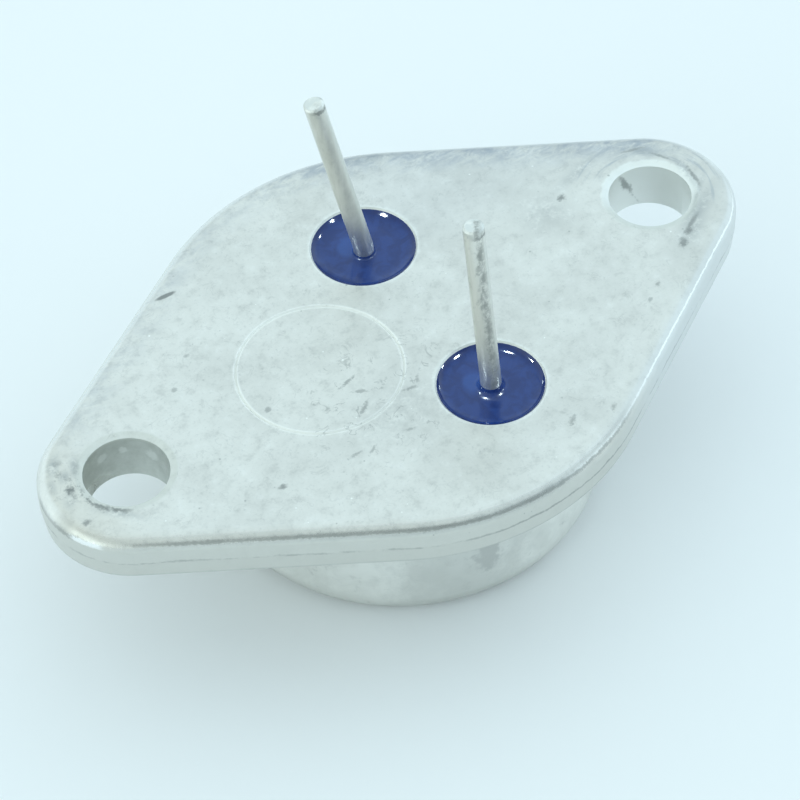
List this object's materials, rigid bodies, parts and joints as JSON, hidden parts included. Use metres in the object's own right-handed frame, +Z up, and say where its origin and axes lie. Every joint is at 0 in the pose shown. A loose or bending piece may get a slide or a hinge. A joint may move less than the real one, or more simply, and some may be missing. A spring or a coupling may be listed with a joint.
{
  "type": "power transistor",
  "caption": "Power transistor in a metal can: a thick diamond flange with mounting holes, bare pins in blue glass seals, and a drawn round cap over the die.",
  "frame": {"origin": "centre of the cap's closed end, the face it rests on, midway between the mounting holes", "axes": "+Z up, out of the mounting face and along the pins; +X along the line of the mounting holes, towards the hole nearer the pins; +Y towards the base pin"},
  "size_m": [0.0386, 0.0244, 0.0207],
  "materials": {
    "nickel_plate": "dull nickel plate, tumbled, with dirt in its pits and along its edge",
    "cap_nickel": "satin nickel plate on drawn sheet",
    "plated_copper": "copper under the same dull nickel plate",
    "blue_glass": "glossy opaque deep blue",
    "tinned_pin": "dull tin over nickel-iron, streaked with dirt",
    "solder": "dull grey solder",
    "silicon": "polished silicon with a metal pattern",
    "wire_aluminium": "bright drawn wire",
    "silicone": "soft clear coat, slightly milky"
  },
  "bodies": {
    "root": {"header_flange": "nickel_plate", "copper_slug": "plated_copper", "base_seal": "blue_glass", "emitter_seal": "blue_glass", "base_pin": "tinned_pin", "emitter_pin": "tinned_pin", "die_solder": "solder", "silicon_die": "silicon", "base_wire": "wire_aluminium", "emitter_wire_1": "wire_aluminium", "emitter_wire_2": "wire_aluminium", "junction_coat": "silicone", "cap": "cap_nickel"}
  },
  "joints": []
}
